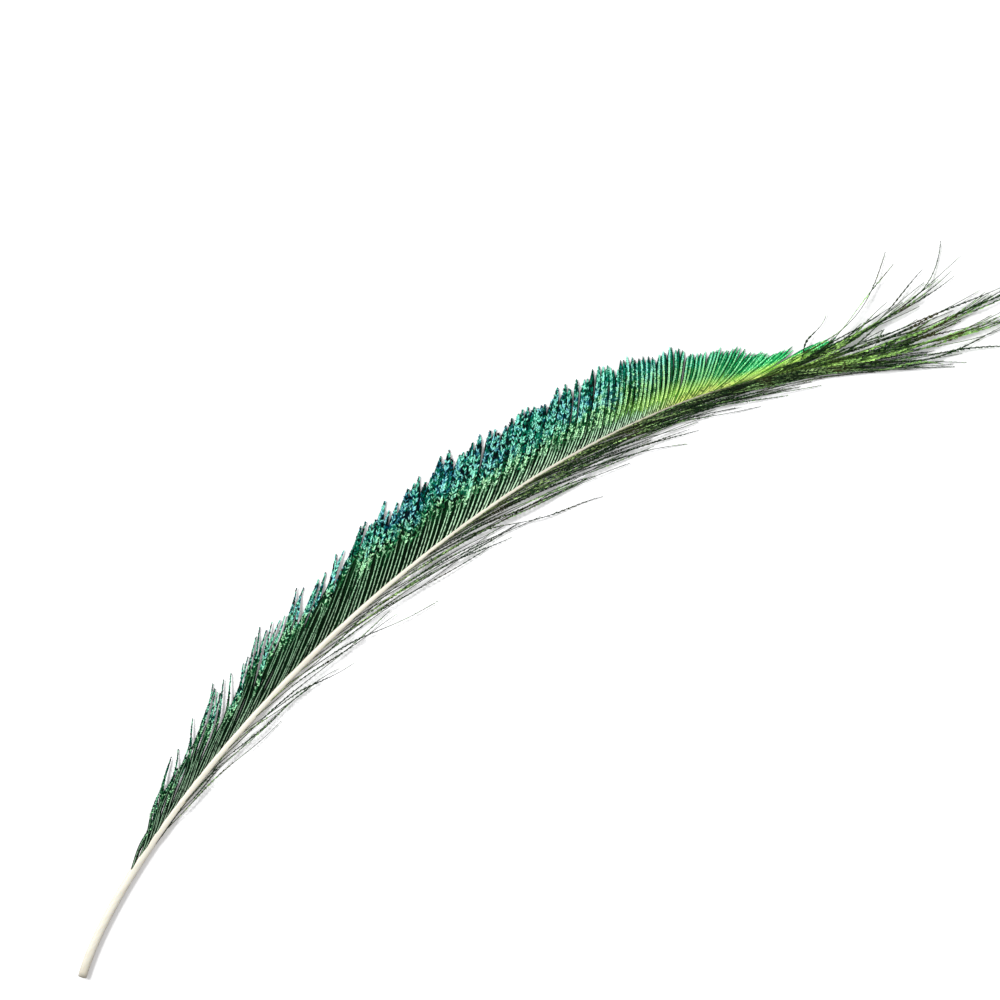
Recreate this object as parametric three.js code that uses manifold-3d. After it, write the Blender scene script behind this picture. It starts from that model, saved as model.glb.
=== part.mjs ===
// A peacock sword feather, lying flat with its coloured face up: one body grown in one piece. A curved ivory
// shaft, cut square at the quill end, carries a broad vane on the outside of its curve, sparse long barbs on
// the inside, and a tassel of strands that run on past its tip. The barbs are gathered in locks.
// Millimetres, +Z up, +X from the quill to the tip. The origin is the middle of the underside's bounding box.
import * as THREE from "three";
import { mergeVertices } from "three/addons/utils/BufferGeometryUtils.js";
import Module from "manifold-3d";

// The shaft in plan: the four control points of one Bezier curve, from the cut end to the tip.
const SHAFT_BEND = [
  [0, 0],
  [41, 29.3],
  [204.2, 57.4],
  [289.3, 1.2],
];
// Shaft width at shares of its length. Its height is a share of its width.
const SHAFT_WIDTH = [
  { at: 0, width: 2.6 },
  { at: 0.35, width: 2.1 },
  { at: 0.6, width: 1.5 },
  { at: 0.85, width: 1.0 },
  { at: 1, width: 0.8 },
];
const SHAFT_HEIGHT_SHARE = 0.92;
const SHAFT_STEPS = 48;
// Half of the shaft's section from the underside up: shares of half its width and of its height.
const SHAFT_SECTION = [
  [0.6, 0],
  [1, 0.3],
  [1, 0.66],
  [0.5, 1],
];

// Barbs at shares of the shaft's length: how long they are, the angle in degrees between them and the shaft
// where they leave it and at their tips, and how much of a lock's width is lost where its barbs gather.
// Each barb is a curve with one bend, this share of the way along it.
const BEND_SHARE = 0.4;
const BROAD_SIDE = [
  { at: 0.1, length: 26, root: 10, tip: 20, gather: 0.75 },
  { at: 0.2, length: 38, root: 10, tip: 24, gather: 0.75 },
  { at: 0.35, length: 39, root: 13, tip: 27, gather: 0.7 },
  { at: 0.45, length: 35, root: 24, tip: 37, gather: 0.6 },
  { at: 0.55, length: 30, root: 30, tip: 46, gather: 0.45 },
  { at: 0.65, length: 26, root: 32, tip: 56, gather: 0.35 },
  { at: 0.75, length: 22.5, root: 42, tip: 66, gather: 0.3 },
  { at: 0.82, length: 18, root: 48, tip: 74, gather: 0.3 },
  { at: 0.86, length: 15.5, root: 30, tip: 62, gather: 0.4 },
  { at: 0.89, length: 17.5, root: 8, tip: 34, gather: 0.6 },
  { at: 0.92, length: 27.5, root: 6, tip: 18, gather: 0.7 },
];
const NARROW_SIDE = [
  { at: 0.1, length: 44, root: 7, tip: 9, gather: 0.7 },
  { at: 0.3, length: 62, root: 8, tip: 16, gather: 0.7 },
  { at: 0.6, length: 66, root: 10, tip: 19, gather: 0.7 },
  { at: 0.85, length: 58, root: 8, tip: 15, gather: 0.7 },
  { at: 1, length: 50, root: 7, tip: 4, gather: 0.7 },
];
const TASSEL = [
  { at: 0.92, length: 40, root: 5, tip: 20, gather: 0.7 },
  { at: 0.95, length: 70, root: 5, tip: 17, gather: 0.7 },
  { at: 1, length: 66, root: 1, tip: 5, gather: 0.7 },
];
const OUTSIDE = 1;
const INSIDE = -1;

// Locks: where each row starts and ends on the shaft, how many there are, the share of its pitch that a lock
// fills at its root, how thick it is, how high it arches between the shaft and its tip, how uneven the locks
// are in length, and the share of a lock's length where its barbs start to gather.
const ROWS = [
  {
    side: OUTSIDE, barbs: BROAD_SIDE, from: 0.105, to: 0.92, locks: 46,
    fill: 0.86, thick: 0.6, arch: 1.6, uneven: 0.05, gathers: 0.45, steps: 8,
  },
  {
    side: INSIDE, barbs: NARROW_SIDE, from: 0.11, to: 0.97, locks: 14,
    fill: 0.4, thick: 0.6, arch: 1.2, uneven: 0.12, gathers: 0.4, steps: 10,
  },
  {
    side: OUTSIDE, barbs: TASSEL, from: 0.922, to: 0.995, locks: 9,
    fill: 0.84, thick: 0.5, arch: 1.6, uneven: 0.14, gathers: 0.3, steps: 10,
  },
];
const UNEVEN_TURN = 2.4; // radians from one lock's place in the wave of lengths to the next one's
const LOCK_TIP_SHARE = 0.35; // of a lock's thickness, left at its tip
const ROOT_HEIGHT_SHARE = 0.5; // of the shaft's height, where the barbs leave it

const wasm = await Module();
wasm.setup();

const shaftLine = new THREE.CubicBezierCurve3(...SHAFT_BEND.map(([x, y]) => new THREE.Vector3(x, y, 0)));
const shaftLength = shaftLine.getLength();

/** The value of one field of a table at a share of the shaft's length, eased between its rows. */
function tableValue(table, field, at) {
  const next = table.findIndex((row) => row.at >= at);
  if (next === 0) return table[0][field];
  if (next < 0) return table[table.length - 1][field];
  const [low, high] = [table[next - 1], table[next]];
  const share = (at - low.at) / (high.at - low.at);
  return THREE.MathUtils.lerp(low[field], high[field], THREE.MathUtils.smoothstep(share, 0, 1));
}

const shaftWidth = (at) => tableValue(SHAFT_WIDTH, "width", at);
const shaftHeight = (at) => shaftWidth(at) * SHAFT_HEIGHT_SHARE;

/** The point on a barb that leaves the shaft at a share of its length, at a share of the barb's own length. */
function barbPoint(row, at, share, stretch) {
  const length = tableValue(row.barbs, "length", at) * stretch;
  const forward = shaftLine.getTangentAt(at);
  const heading = Math.atan2(forward.y, forward.x);
  const step = (angle, reach) => {
    const turned = heading + row.side * THREE.MathUtils.degToRad(angle);
    return new THREE.Vector3(Math.cos(turned) * reach, Math.sin(turned) * reach, 0);
  };
  const root = shaftLine.getPointAt(at);
  const bend = root.clone().add(step(tableValue(row.barbs, "root", at), length * BEND_SHARE));
  const tip = bend.clone().add(step(tableValue(row.barbs, "tip", at), length * (1 - BEND_SHARE)));
  const point = new THREE.QuadraticBezierCurve3(root, bend, tip).getPoint(share);
  const rootHeight = ROOT_HEIGHT_SHARE * shaftHeight(at);
  const restHeight = (row.thick * LOCK_TIP_SHARE) / 2;
  point.z = THREE.MathUtils.lerp(rootHeight, restHeight, share) + row.arch * Math.sin(Math.PI * share);
  return point;
}

/** A closed mesh over a row of rings that all have the same number of points. */
function skin(rings) {
  const around = rings[0].length;
  const points = rings.flat();
  const faces = [];
  for (let ring = 0; ring < rings.length - 1; ring++)
    for (let k = 0; k < around; k++) {
      const [a, b] = [ring * around + k, ring * around + ((k + 1) % around)];
      faces.push(a, b, b + around, a, b + around, a + around);
    }
  const last = (rings.length - 1) * around;
  for (let k = 1; k < around - 1; k++) faces.push(0, k + 1, k, last, last + k, last + k + 1);
  const geometry = new THREE.BufferGeometry();
  geometry.setAttribute("position", new THREE.Float32BufferAttribute(points.flatMap((p) => p.toArray()), 3));
  geometry.setIndex(faces);
  return geometry;
}

/** The solid of a closed mesh, whichever way round its faces were laid. */
function solidOf(geometry) {
  const merged = mergeVertices(geometry, 1e-5);
  const build = (triVerts) =>
    new wasm.Manifold(
      new wasm.Mesh({ numProp: 3, vertProperties: merged.attributes.position.array, triVerts }),
    );
  const made = build(new Uint32Array(merged.index.array));
  return made.volume() > 0 ? made : build(new Uint32Array(merged.index.array).reverse());
}

/** The shaft: its flat-bottomed section carried along the curve, lying on the ground all the way. */
function makeShaft() {
  const rings = [];
  for (let i = 0; i <= SHAFT_STEPS; i++) {
    const at = i / SHAFT_STEPS;
    const middle = shaftLine.getPointAt(at);
    const forward = shaftLine.getTangentAt(at);
    const across = new THREE.Vector3(-forward.y, forward.x, 0);
    const right = SHAFT_SECTION.map(([out, up]) => [-out, up]);
    const left = SHAFT_SECTION.toReversed();
    rings.push(
      [...right, ...left].map(([out, up]) =>
        middle
          .clone()
          .addScaledVector(across, (out * shaftWidth(at)) / 2)
          .setZ(up * shaftHeight(at)),
      ),
    );
  }
  return solidOf(skin(rings));
}

/** One lock: the strip between its first and last barbs, thickest along its middle, gathered at its tip. */
function makeLock(row, index) {
  const pitch = (row.to - row.from) / row.locks;
  const middleAt = row.from + pitch * (index + 0.5);
  const stretch = 1 + row.uneven * Math.sin(UNEVEN_TURN * index);
  const gather = tableValue(row.barbs, "gather", middleAt);
  const rings = [];
  for (let i = 0; i <= row.steps; i++) {
    const share = i / row.steps;
    const gathered = THREE.MathUtils.smoothstep(share, row.gathers, 1);
    const reach = (pitch / 2) * row.fill * (1 - gather * gathered);
    const back = barbPoint(row, middleAt - reach, share, stretch);
    const front = barbPoint(row, middleAt + reach, share, stretch);
    const middle = back.clone().add(front).multiplyScalar(0.5);
    const thick = row.thick * THREE.MathUtils.lerp(1, LOCK_TIP_SHARE, gathered);
    const up = new THREE.Vector3(0, 0, thick / 2);
    rings.push([back, middle.clone().sub(up), front, middle.clone().add(up)]);
  }
  return solidOf(skin(rings));
}

let feather = makeShaft();
for (const row of ROWS)
  for (let index = 0; index < row.locks; index++) feather = feather.add(makeLock(row, index));

const joined = feather.getMesh();
const geometry = new THREE.BufferGeometry();
geometry.setAttribute("position", new THREE.Float32BufferAttribute(joined.vertProperties, 3));
geometry.setIndex(new THREE.Uint32BufferAttribute(joined.triVerts, 1));
geometry.computeBoundingBox();
geometry.computeVertexNormals();
const middle = geometry.boundingBox.getCenter(new THREE.Vector3());
geometry.translate(-middle.x, -middle.y, -geometry.boundingBox.min.z);

const mesh = new THREE.Mesh(
  geometry,
  new THREE.MeshStandardMaterial({ color: 0x1f8f6f, roughness: 0.45, metalness: 0.35 }),
);
mesh.name = "feather";

const group = new THREE.Group();
group.add(mesh);
console.log(`shaft ${shaftLength.toFixed(1)} mm, ${joined.triVerts.length / 3} triangles`);
export default group;
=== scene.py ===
"""A peacock sword feather lying flat with its coloured face up.

A curved ivory shaft carries a broad vane on the outside of its curve, long loose barbs on the inside and a
tassel of strands that run on past its tip. Every barb is a thin tapered stalk with a row of barbules down each
side. All sizes are millimetres until a mesh is made. The feather's own plane has its origin in the middle of
the shaft's cut end, X along the line from the cut end to the tip, Y towards the broad vane and Z up.
"""

import logging
from collections.abc import Iterable
from dataclasses import dataclass, field
from enum import Enum

import bpy
import numpy as np
from mathutils import Matrix, Vector


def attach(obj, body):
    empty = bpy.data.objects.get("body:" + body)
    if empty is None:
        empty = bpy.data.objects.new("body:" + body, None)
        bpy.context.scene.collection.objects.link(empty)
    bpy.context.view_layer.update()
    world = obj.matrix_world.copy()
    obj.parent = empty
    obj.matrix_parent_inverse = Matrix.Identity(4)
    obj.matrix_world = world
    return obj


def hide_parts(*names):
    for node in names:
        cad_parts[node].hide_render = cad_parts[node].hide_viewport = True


Array = np.ndarray

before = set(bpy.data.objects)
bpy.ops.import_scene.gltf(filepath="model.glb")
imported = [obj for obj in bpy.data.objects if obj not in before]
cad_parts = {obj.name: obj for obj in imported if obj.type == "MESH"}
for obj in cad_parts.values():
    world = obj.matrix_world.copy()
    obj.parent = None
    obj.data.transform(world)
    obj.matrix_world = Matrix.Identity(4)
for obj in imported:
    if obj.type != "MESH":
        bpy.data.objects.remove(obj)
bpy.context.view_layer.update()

log = logging.getLogger("feather")

MM = 0.001
NODE = "feather"
BODY = "root"
FULL_TURN = 2 * np.pi
LINE_ZONE = 0.4  # of the vane's zones: below it a barb is a pale line
NO_LENGTH = 1e-12  # a shorter vector counts as having none


class Side(Enum):
    """The side of the shaft that a row of barbs grows on: plus one is the outside of its curve."""

    OUTSIDE = 1
    INSIDE = -1


class Look(Enum):
    """The two finishes of a barb, by the place of their material on the piece."""

    BARBULE = 0
    STALK = 1


def eased(low: float, high: float, value: Array) -> Array:
    """A step from 0 at low to 1 at high, with the curve 3t^2 - 2t^3 between them.

    Args:
        low: Where the step starts.
        high: Where the step ends.
        value: The values to look up.

    Returns:
        The height of the step at each value.
    """
    t = np.clip((value - low) / (high - low), 0, 1)
    return t * t * (3 - 2 * t)


def unit(vectors: Array) -> Array:
    """The vectors along the last axis, each divided by its length."""
    return vectors / np.maximum(np.linalg.norm(vectors, axis=-1, keepdims=True), NO_LENGTH)


def linear(rgb: tuple[int, int, int]) -> tuple[float, float, float, float]:
    """A screen colour of three numbers up to 255 as a shader's linear colour, by the sRGB curve."""
    share = np.array(rgb) / 255
    straight = np.where(share <= 0.04045, share / 12.92, ((share + 0.055) / 1.055) ** 2.4)
    return (*straight.tolist(), 1.0)


def tube_faces(rings: Array) -> Array:
    """Triangles over closed tubes: two for each cell of their walls, and a fan over each end.

    Args:
        rings: The numbers of the tubes' points. The last two axes are the rings and the points round each.

    Returns:
        Three point numbers for each triangle: the walls first, then the first ends, then the last ends.
    """
    after = np.roll(rings, -1, axis=-1)
    a, b, c, d = rings[..., :-1, :], after[..., :-1, :], after[..., 1:, :], rings[..., 1:, :]
    parts = [np.stack([np.stack([a, b, c], -1), np.stack([a, c, d], -1)], -2)]
    fan = np.arange(1, rings.shape[-1] - 1)
    for ring, near, far in ((rings[..., 0, :], fan + 1, fan), (rings[..., -1, :], fan, fan + 1)):
        parts.append(np.stack([ring[..., 0 * fan], ring[..., near], ring[..., far]], -1))
    return np.concatenate([part.reshape(-1, 3) for part in parts])


@dataclass(frozen=True)
class Table:
    """Values at shares of the shaft's length, eased from row to row. A single number holds all along it."""

    at: tuple[float, ...]
    columns: dict[str, tuple[float, ...] | float]

    def value(self, name: str, at: Array, otherwise: float = 1.0) -> Array:
        """Looks one column up.

        Args:
            name: The column's name.
            at: Shares of the shaft's length.
            otherwise: The value everywhere of a column that the table doesn't have.

        Returns:
            The column's value at each share.
        """
        column = np.array(self.columns.get(name, otherwise))
        if column.ndim == 0:
            return np.full_like(at, column)
        rows = np.array(self.at)
        held = np.clip(at, rows[0], rows[-1])
        low = np.clip(np.searchsorted(rows, held) - 1, 0, len(rows) - 2)
        step = eased(0, 1, (held - rows[low]) / (rows[low + 1] - rows[low]))
        return column[low] + (column[low + 1] - column[low]) * step


@dataclass
class ShaftLine:
    """The shaft's middle in plan: a Bezier curve of four points, read by shares of its own length."""

    bend: tuple[tuple[float, float], ...] = ((0, 0), (41, 29.3), (204.2, 57.4), (289.3, 1.2))
    samples: int = 2000
    near: float = 5e-4
    length: float = field(init=False)
    shares: Array = field(init=False)

    def __post_init__(self) -> None:
        """Measures the curve along its samples."""
        steps = np.diff(self.curve(np.linspace(0, 1, self.samples)), axis=0)
        run = np.concatenate([[0], np.cumsum(np.linalg.norm(steps, axis=1))])
        self.length = float(run[-1])
        self.shares = run / run[-1]

    def curve(self, t: Array) -> Array:
        """The curve's point at its own parameter: the four weighted (1-t)^3, 3t(1-t)^2, 3t^2(1-t) and t^3."""
        s = 1 - t
        weights = np.stack([s**3, 3 * t * s**2, 3 * t**2 * s, t**3], -1)
        return weights @ np.array(self.bend, float)

    def parameter(self, at: Array) -> Array:
        """The curve's parameter at shares of its length."""
        return np.interp(at, self.shares, np.linspace(0, 1, self.samples))

    def point(self, at: Array) -> Array:
        """The points at shares of the curve's length."""
        return self.curve(self.parameter(at))

    def heading(self, at: Array) -> Array:
        """The angle of the curve's direction at shares of its length, from a near point behind to one ahead."""
        t = self.parameter(at)
        ahead = self.curve(t + self.near) - self.curve(t - self.near)
        return np.arctan2(ahead[..., 1], ahead[..., 0])


@dataclass
class ShaftShape:
    """The shaft's sizes along its length."""

    line: ShaftLine = field(default_factory=ShaftLine)
    widths: Table = Table((0, 0.35, 0.6, 0.85, 1), {"width": (2.6, 2.0, 1.2, 0.64, 0.3)})
    height_share: float = 0.92

    def width(self, at: Array) -> Array:
        """The shaft's width at shares of its length."""
        return self.widths.value("width", at)

    def height(self, at: Array) -> Array:
        """The shaft's height at shares of its length."""
        return self.width(at) * self.height_share


@dataclass
class Surface:
    """Triangles with what their materials read: looks by face, places by point, and glints by face corner."""

    points: Array
    faces: Array
    look: Array
    along: Array
    outward: Array
    glint: Array
    places: Array | None = None

    @staticmethod
    def joined(parts: "list[Surface]") -> "Surface":
        """One surface of many, each part's faces counted on from the points before it."""
        starts = np.cumsum([0] + [len(part.points) for part in parts[:-1]])
        return Surface(
            np.concatenate([part.points for part in parts]),
            np.concatenate([part.faces + start for part, start in zip(parts, starts)]),
            *(
                np.concatenate([getattr(part, name) for part in parts])
                for name in ("look", "along", "outward", "glint", "places")
            ),
        )


@dataclass
class Placement:
    """Moves the feather's own plane to where the CAD solid lies."""

    shift: Array = field(init=False)
    cut_reach: float = 3.0
    decimals: int = 2

    def __post_init__(self) -> None:
        """Finds the shift: the plane's origin is the mean of the node's corners at the cut end, of lowest X."""
        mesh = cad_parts[NODE].data
        places = np.empty(len(mesh.vertices) * 3)
        mesh.vertices.foreach_get("co", places)
        places = np.unique(np.round(places.reshape(-1, 3) / MM, self.decimals), axis=0)
        cut = places[places[:, 0] < places[:, 0].min() + self.cut_reach]
        self.shift = np.array([*cut.mean(axis=0)[:2], 0.0])

    def metres(self, points: Array) -> Array:
        """Points of the feather's own plane, as places in the frame."""
        return (points + self.shift) * MM


def make_piece(name: str, surface: Surface, place: Placement, materials: list) -> bpy.types.Object:
    """Makes an object that rides on the body in place of the CAD solid.

    Args:
        name: The object's name.
        surface: Its triangles.
        place: Where the feather lies.
        materials: Its materials, in the order of Look.

    Returns:
        The new object.
    """
    mesh = bpy.data.meshes.new(name)
    count = len(surface.faces)
    mesh.vertices.add(len(surface.points))
    mesh.vertices.foreach_set("co", place.metres(surface.points).ravel())
    mesh.loops.add(count * 3)
    mesh.loops.foreach_set("vertex_index", surface.faces.ravel().astype(np.int32))
    mesh.polygons.add(count)
    mesh.polygons.foreach_set("loop_start", np.arange(0, count * 3, 3, dtype=np.int32))
    mesh.polygons.foreach_set("material_index", surface.look.astype(np.int32))
    mesh.update(calc_edges=True)
    mesh.polygons.foreach_set("use_smooth", surface.look == Look.STALK.value)
    for label, values, domain in (
        ("along", surface.along, "POINT"),
        ("outward", surface.outward, "POINT"),
        ("glint", surface.glint, "CORNER"),
    ):
        attribute = mesh.attributes.new(label, "FLOAT", domain)
        attribute.data.foreach_set("value", values.astype(np.float32).ravel())
    if surface.places is not None:
        bake_map = mesh.uv_layers.new(name="OFBake")
        bake_map.data.foreach_set("uv", surface.places.astype(np.float32).ravel())
    for material in materials:
        mesh.materials.append(material)
    piece = bpy.data.objects.new(name, mesh)
    bpy.context.scene.collection.objects.link(piece)
    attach(piece, BODY)
    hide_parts(NODE)
    log.info("%s: %d triangles", name, count)
    return piece


@dataclass
class Barbs:
    """A bundle of barbs as paths on a grid, one row of points for each barb."""

    path: Array
    at: Array
    shade: Array
    under: Array
    stalk: Array
    twist: Array
    lines: Array
    disorder: Array
    fullness: Array
    shade_bed: Array
    notch_shade: Array
    taper: Array

    @property
    def shares(self) -> Array:
        """The shares of a barb's length where its points lie."""
        return np.linspace(0, 1, self.path.shape[1])

    @property
    def lengths(self) -> Array:
        """Each barb's length along its points."""
        return np.linalg.norm(np.diff(self.path, axis=1), axis=2).sum(axis=1)

    def part(self, chosen: slice) -> "Barbs":
        """Some of the barbs."""
        return Barbs(*(getattr(self, name)[chosen] for name in self.__dataclass_fields__))

    def zone(self, share: Array, lines: Array) -> Array:
        """The place across the vane's zones: 0 to 0.4 where the barb is a pale line, and 0.4 to 1 beyond it."""
        beyond = LINE_ZONE + (1 - LINE_ZONE) * (share - lines) / (1 - lines)
        return np.where(share < lines, LINE_ZONE * share / lines, beyond)

    def frames(self) -> tuple[Array, Array, Array]:
        """The forward, sideways and upward directions at each point.

        Forward is the path's own direction. Sideways is level and square to it. Upward is square to both, and
        the last two are then turned about forward by the barb's twist.

        Returns:
            Three arrays of unit vectors, as long and wide as the paths.
        """
        forward = unit(np.gradient(self.path, axis=1))
        level = unit(np.cross(np.array([0.0, 0.0, 1.0]), forward))
        upward = np.cross(forward, level)
        turn = self.twist[..., None]
        sideways = level * np.cos(turn) + upward * np.sin(turn)
        return forward, sideways, np.cross(forward, sideways)


@dataclass(frozen=True)
class Stalks:
    """A tube of few sides along each barb, closed at both ends: its stalk, or a dark sheet of painted shade
    under it.

    The last ring is drawn in to the closing share of its radius, and no point lies under the lowest height. The
    shade sheet narrows to its tip width over the last stretch of its barb. The band is the strip of the bake
    map that the tubes share.
    """

    root_radius: float
    tip_radius: float
    flatness: float = 1.0
    drop: float = 0.0
    sides: int = 4
    look: Look = Look.STALK
    tones: tuple[float, float] = (0.25, 0.75)
    sunk_shade: float = 0.3
    closing: float = 0.15
    lowest: float = 0.02
    shade_bed_tip: float = 0.1
    band: tuple[float, float] = (0.0, 0.07)

    def surface(self, barbs: Barbs, rng: np.random.Generator) -> Surface:
        """Carries a ring of points along each path, its radius running evenly from the root's to the tip's.

        Args:
            barbs: The barbs' paths.
            rng: The source of each stalk's tone.

        Returns:
            The tubes' surface, with the last ring drawn in almost to a point.
        """
        count, steps = barbs.path.shape[:2]
        sides = self.sides
        forward, sideways, upward = barbs.frames()
        radius = self.root_radius + (self.tip_radius - self.root_radius) * barbs.shares
        radius = radius * np.where(barbs.shares == 1, self.closing, 1)
        radius = (radius[None] * self.width(barbs))[..., None, None]
        angle = np.arange(sides) / sides * FULL_TURN
        ring = sideways[:, :, None] * np.cos(angle)[:, None]
        ring = ring + upward[:, :, None] * (np.sin(angle) * self.flatness)[:, None]
        points = barbs.path[:, :, None] + ring * radius
        points[..., 2] = np.maximum(points[..., 2] - self.drop, self.lowest)
        index = np.arange(count * steps * sides).reshape(count, steps, sides)
        faces = tube_faces(index)
        zone = np.repeat(barbs.zone(barbs.shares[None], barbs.lines[:, None])[..., None], sides, axis=2)
        # Each stalk's glint: a random tone, darkened as painted shade where its barb lies under its neighbours.
        tone = np.repeat(rng.uniform(*self.tones, count) * (1 - self.sunk_shade * barbs.under), steps * sides)
        return Surface(
            points.reshape(-1, 3),
            faces,
            np.full(len(faces), self.look.value),
            np.broadcast_to(barbs.at[:, None, None], index.shape).ravel(),
            zone.ravel(),
            tone[faces],
            self.places(count, steps),
        )

    def width(self, barbs: Barbs) -> Array:
        """How wide each barb is along its points: the shade sheet follows its barbules' reach, and a stalk is
        even.
        """
        if self.look is Look.STALK:
            return np.broadcast_to(barbs.stalk[:, None], barbs.twist.shape)
        return barbs.shade_bed[:, None] * np.minimum(1, self.shade_bed_tip + (1 - barbs.shares) * barbs.taper[:, None])

    def places(self, count: int, steps: int) -> Array:
        """Where each face lies on the bake map: a column for each stalk, with a strip in it for each side.

        Args:
            count: How many stalks there are.
            steps: How many rings each has.

        Returns:
            The map places of each face's corners. The ends' triangles are slivers along the band's two edges.
        """
        margin, fill = 0.15, 0.8  # of the room that a side has in its column
        foot, climb = 0.05, 0.88  # of the band's height: where the rings start, and how far they run
        low, high = self.band
        left = (np.arange(count)[:, None] + (np.arange(self.sides) + margin) / self.sides) / count
        right = left + fill / self.sides / count
        rows = low + (high - low) * (foot + climb * np.arange(steps) / (steps - 1))
        shape = (count, steps - 1, self.sides)
        x0, x1 = np.broadcast_to(left[:, None], shape), np.broadcast_to(right[:, None], shape)
        y0, y1 = (np.broadcast_to(y[None, :, None], shape) for y in (rows[:-1], rows[1:]))
        a, b, c, d = (np.stack(pair, -1) for pair in ((x0, y0), (x1, y0), (x1, y1), (x0, y1)))
        walls = np.stack([np.stack([a, b, c], -2), np.stack([a, c, d], -2)], 3).reshape(-1, 3, 2)
        slivers = count * (self.sides - 2)
        x = (np.arange(slivers) + 0.1) / slivers
        width = fill / slivers
        ends = []
        for edge, inward in ((low, 0.04), (high, -0.05)):
            rim, peak = (np.full_like(x, edge + (high - low) * inward * depth) for depth in (0.2, 1.0))
            corners = ((x, rim), (x + width, rim), (x + width / 2, peak))
            ends.append(np.stack([np.stack(corner, -1) for corner in corners], 1))
        return np.concatenate([walls, *ends])


@dataclass(frozen=True)
class Lay:
    """How barbules lie in one zone. Angles are degrees from the barb and above the vane; tones are 0 to 1."""

    reach: float
    width: float
    root_angle: float
    tip_angle: float
    lift: float
    tip_lift: float
    # Tones set the glint at root, bend and tip: partly own pale and dark parts, partly painted highlight and
    # shade.
    root_tone: float
    bend_tone: float
    tip_tone: float


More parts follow.
